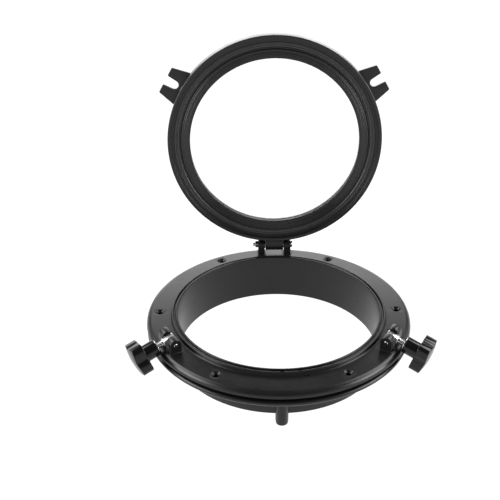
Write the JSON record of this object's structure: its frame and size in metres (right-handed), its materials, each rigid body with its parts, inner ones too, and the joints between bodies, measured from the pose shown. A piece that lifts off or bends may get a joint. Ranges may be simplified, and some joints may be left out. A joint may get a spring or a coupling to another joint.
{
  "type": "round opening portlight",
  "caption": "Round black opening portlight with a hinged glazed lid, swing-bolt latches with lobed knobs, a deep spigot and a loose trim ring.",
  "frame": {"origin": "centre of the clear opening on the flange's back face, which lies on the panel", "axes": "+Z from the panel towards the lid, along the opening's axis; the hinge is on the +Y side; the latches are at 210 and 330 degrees from +X"},
  "size_m": [0.2865, 0.2728, 0.2961],
  "materials": {
    "frame_plastic": "semi-gloss moulded",
    "lid_plastic": "semi-gloss moulded",
    "knob_plastic": "gloss moulded",
    "glass": "polished, faint grey tint",
    "rubber": "matt",
    "stainless": "polished stainless",
    "brass": "turned"
  },
  "bodies": {
    "frame": {"main_frame": "frame_plastic", "hinge_bolt": "stainless", "hinge_nut": "stainless", "hinge_washers": "stainless", "latch_pin_left": "stainless", "latch_pin_right": "stainless"},
    "trim": {"trim_ring": "frame_plastic"},
    "lid": {"lid_ring": "lid_plastic", "glass_pane": "glass", "glazing_gasket": "rubber", "glazing_retainer": "lid_plastic", "lid_seal": "rubber"},
    "bolt_left": {"swing_bolt_left": "stainless"},
    "washer_left": {"knob_washer_left": "stainless"},
    "knob_body_left": {"knob_left": "knob_plastic", "knob_insert_left": "brass"},
    "bolt_right": {"swing_bolt_right": "stainless"},
    "washer_right": {"knob_washer_right": "stainless"},
    "knob_body_right": {"knob_right": "knob_plastic", "knob_insert_right": "brass"}
  },
  "joints": [
    {"name": "lid_hinge", "type": "hinge", "parent": "frame", "child": "lid", "pos_m": [0, 0.1195, 0.0165], "axis": [1, 0, 0], "range_deg": [0, 93]},
    {"name": "trim_ring_slide", "type": "slide", "parent": "frame", "child": "trim", "axis": [0, 0, -1], "range_m": [-0.0035, 0.028]},
    {"name": "latch_left_swing", "type": "hinge", "parent": "frame", "child": "bolt_left", "pos_m": [-0.10236, -0.0591, 0.0148], "axis": [-0.5, 0.866, 0], "range_deg": [0, 106.7]},
    {"name": "knob_left_travel", "type": "slide", "parent": "bolt_left", "child": "washer_left", "axis": [0.8295, 0.4789, 0.2874], "range_m": [-0.006, 0]},
    {"name": "knob_left_turn", "type": "hinge", "parent": "washer_left", "child": "knob_body_left", "pos_m": [-0.10236, -0.0591, 0.0148], "axis": [0.8295, 0.4789, 0.2874], "range_deg": [-2160, 0]},
    {"name": "latch_right_swing", "type": "hinge", "parent": "frame", "child": "bolt_right", "pos_m": [0.10236, -0.0591, 0.0148], "axis": [-0.5, -0.866, 0], "range_deg": [0, 106.7]},
    {"name": "knob_right_travel", "type": "slide", "parent": "bolt_right", "child": "washer_right", "axis": [-0.8295, 0.4789, 0.2874], "range_m": [-0.006, 0]},
    {"name": "knob_right_turn", "type": "hinge", "parent": "washer_right", "child": "knob_body_right", "pos_m": [0.10236, -0.0591, 0.0148], "axis": [-0.8295, 0.4789, 0.2874], "range_deg": [-2160, 0]}
  ],
  "couplings": [
    {"joint": "knob_left_travel", "follows": "knob_left_turn", "m_per_rad": 0.00015915},
    {"joint": "knob_right_travel", "follows": "knob_right_turn", "m_per_rad": 0.00015915}
  ]
}
